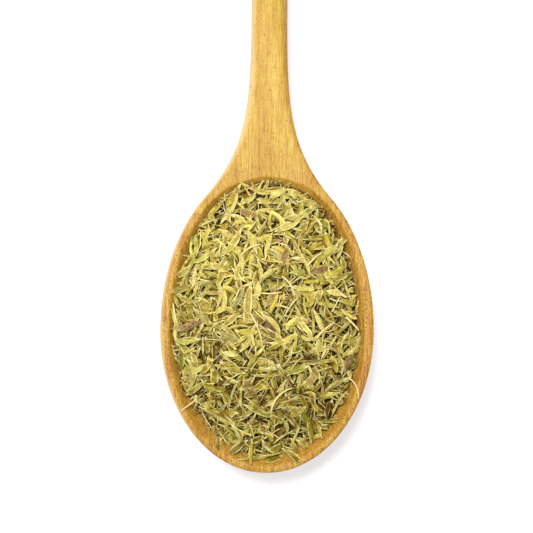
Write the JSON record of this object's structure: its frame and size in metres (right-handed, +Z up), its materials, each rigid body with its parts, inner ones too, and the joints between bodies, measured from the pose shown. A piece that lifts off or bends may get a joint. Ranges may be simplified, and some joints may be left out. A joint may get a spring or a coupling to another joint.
{
  "type": "wooden spoon of dried thyme",
  "caption": "Wooden cooking spoon lying level, its oval bowl heaped with dried common thyme leaves, with browned leaves, stalk bits and shoot tips on top.",
  "frame": {"origin": "on the surface that the spoon lies on, under the middle of the whole part's box", "axes": "+Y from the tip of the bowl to the end of the handle, +Z up, +X to the right when the bowl's tip points towards the viewer"},
  "size_m": [0.0536, 0.25, 0.0271],
  "materials": {
    "wood": "oiled honey-coloured wood, satin",
    "green_leaf": "dry olive-green leaf, matte",
    "brown_leaf": "browned dry leaf, matte",
    "stalk": "pale dry stalk, matte"
  },
  "bodies": {
    "root": {"spoon": "wood", "leaf_heap": "green_leaf", "shoot_tip_01": "green_leaf", "shoot_tip_02": "green_leaf", "shoot_tip_03": "green_leaf", "brown_leaf_01": "brown_leaf", "brown_leaf_02": "brown_leaf", "brown_leaf_03": "brown_leaf", "brown_leaf_04": "brown_leaf", "brown_leaf_05": "brown_leaf", "brown_leaf_06": "brown_leaf", "brown_leaf_07": "brown_leaf", "brown_leaf_08": "brown_leaf", "brown_leaf_09": "brown_leaf", "brown_leaf_10": "brown_leaf", "brown_leaf_11": "brown_leaf", "stalk_01": "stalk", "stalk_02": "stalk", "stalk_03": "stalk", "stalk_04": "stalk", "stalk_05": "stalk", "stalk_06": "stalk", "stalk_07": "stalk", "stalk_08": "stalk", "stalk_09": "stalk", "stalk_10": "stalk", "stalk_11": "stalk", "stalk_12": "stalk"}
  },
  "joints": []
}
